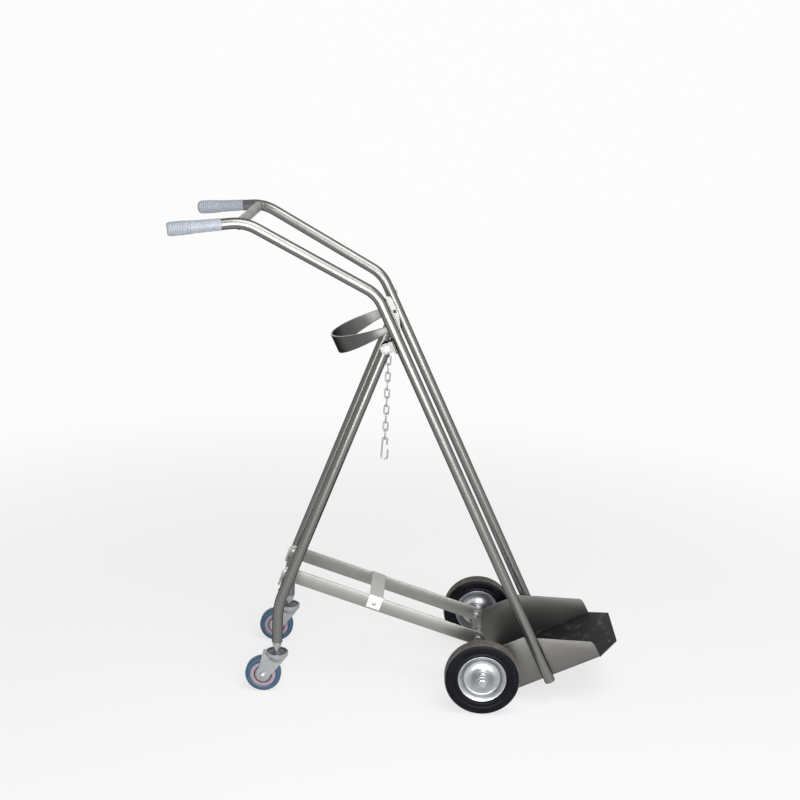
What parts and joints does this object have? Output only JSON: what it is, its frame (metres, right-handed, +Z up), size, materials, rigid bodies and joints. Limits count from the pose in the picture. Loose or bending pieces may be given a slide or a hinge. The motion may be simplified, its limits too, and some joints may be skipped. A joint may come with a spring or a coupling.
{
  "type": "gas cylinder trolley",
  "caption": "Steel gas cylinder trolley: bent side tubes, toe plate tray, saddle band with chain, disc wheels, and folding castered legs with a lift-off brace.",
  "frame": {"origin": "on the floor, midway between the front of the toe plate and the ends of the handle grips, in the middle of the width", "axes": "+Z up, +X towards the toe plate, +Y to the left of the person who pushes from the handles"},
  "size_m": [0.9416, 0.4248, 0.9953],
  "materials": {
    "stainless_tube": "satin",
    "stainless_sheet": "satin",
    "stainless_plate": "satin",
    "zinc_steel": "satin",
    "dark_steel": "satin",
    "wheel_rubber": "matte",
    "caster_rubber": "matte",
    "core_plastic": "matte",
    "ring_plastic": "matte",
    "grip_plastic": "matte"
  },
  "bodies": {
    "frame": {"side_tube_right": "stainless_tube", "side_tube_left": "stainless_tube", "handle_cross_tube": "stainless_tube", "grip_right": "grip_plastic", "grip_left": "grip_plastic", "saddle_band": "stainless_plate", "tray": "stainless_sheet", "chain_hook_plate": "stainless_plate", "chain_anchor_pin": "zinc_steel", "leg_bracket_right": "stainless_plate", "leg_bracket_left": "stainless_plate", "leg_pivot_bolts": "zinc_steel", "leg_pivot_nuts": "zinc_steel", "main_axle": "zinc_steel", "axle_spacers": "zinc_steel", "axle_washers": "zinc_steel", "axle_nuts": "zinc_steel", "brace_lug_right": "stainless_plate", "brace_lug_left": "stainless_plate", "brace_pivot_bolts": "zinc_steel", "brace_pivot_nuts": "zinc_steel"},
    "support_legs": {"leg_right": "stainless_tube", "leg_left": "stainless_tube", "leg_rod": "stainless_plate", "leg_sockets": "zinc_steel", "caster_stems": "zinc_steel", "caster_top_races": "dark_steel"},
    "brace": {"brace_bar_right": "stainless_plate", "brace_bar_left": "stainless_plate", "brace_hook_right": "zinc_steel", "brace_hook_left": "zinc_steel", "brace_lift_plate": "stainless_plate", "brace_rivets": "zinc_steel"},
    "chain": {"chain_ring": "zinc_steel", "chain_links": "zinc_steel", "chain_hook": "zinc_steel"},
    "wheel_right": {"tyre_right": "wheel_rubber", "rim_outer_right": "zinc_steel", "rim_inner_right": "zinc_steel", "hub_right": "zinc_steel", "bearings_right": "dark_steel"},
    "caster_right": {"caster_fork_right": "zinc_steel", "caster_axle_right": "zinc_steel"},
    "caster_wheel_right": {"caster_tyre_right": "caster_rubber", "caster_core_right": "core_plastic", "caster_rings_right": "ring_plastic", "caster_bush_right": "zinc_steel"},
    "wheel_left": {"tyre_left": "wheel_rubber", "rim_outer_left": "zinc_steel", "rim_inner_left": "zinc_steel", "hub_left": "zinc_steel", "bearings_left": "dark_steel"},
    "caster_left": {"caster_fork_left": "zinc_steel", "caster_axle_left": "zinc_steel"},
    "caster_wheel_left": {"caster_tyre_left": "caster_rubber", "caster_core_left": "core_plastic", "caster_rings_left": "ring_plastic", "caster_bush_left": "zinc_steel"}
  },
  "joints": [
    {"name": "leg_fold", "type": "hinge", "parent": "frame", "child": "support_legs", "pos_m": [-0.0442, 0, 0.74937], "axis": [0, -1, 0], "range_deg": [0, 22]},
    {"name": "brace_lift", "type": "hinge", "parent": "frame", "child": "brace", "pos_m": [0.17666, 0, 0.113], "axis": [0, 1, 0], "range_deg": [0, 10]},
    {"name": "wheel_spin_right", "type": "hinge", "parent": "frame", "child": "wheel_right", "pos_m": [0.18416, -0.175, 0.0775], "axis": [0, 1, 0], "continuous": true},
    {"name": "wheel_spin_left", "type": "hinge", "parent": "frame", "child": "wheel_left", "pos_m": [0.18416, 0.175, 0.0775], "axis": [0, 1, 0], "continuous": true},
    {"name": "caster_swivel_right", "type": "hinge", "parent": "support_legs", "child": "caster_right", "pos_m": [-0.24484, -0.126, 0.09], "axis": [0, 0, 1], "continuous": true},
    {"name": "caster_spin_right", "type": "hinge", "parent": "caster_right", "child": "caster_wheel_right", "pos_m": [-0.27234, -0.126, 0.0375], "axis": [0, 1, 0], "continuous": true},
    {"name": "caster_swivel_left", "type": "hinge", "parent": "support_legs", "child": "caster_left", "pos_m": [-0.24484, 0.126, 0.09], "axis": [0, 0, 1], "continuous": true},
    {"name": "caster_spin_left", "type": "hinge", "parent": "caster_left", "child": "caster_wheel_left", "pos_m": [-0.27234, 0.126, 0.0375], "axis": [0, 1, 0], "continuous": true},
    {"name": "chain_swing", "type": "hinge", "parent": "frame", "child": "chain", "pos_m": [-0.04522, 0.1609, 0.81245], "axis": [0, 1, 0], "range_deg": [-30, 30]}
  ],
  "couplings": [
    {"joint": "brace_lift", "follows": "leg_fold", "ratio": 0.45}
  ]
}
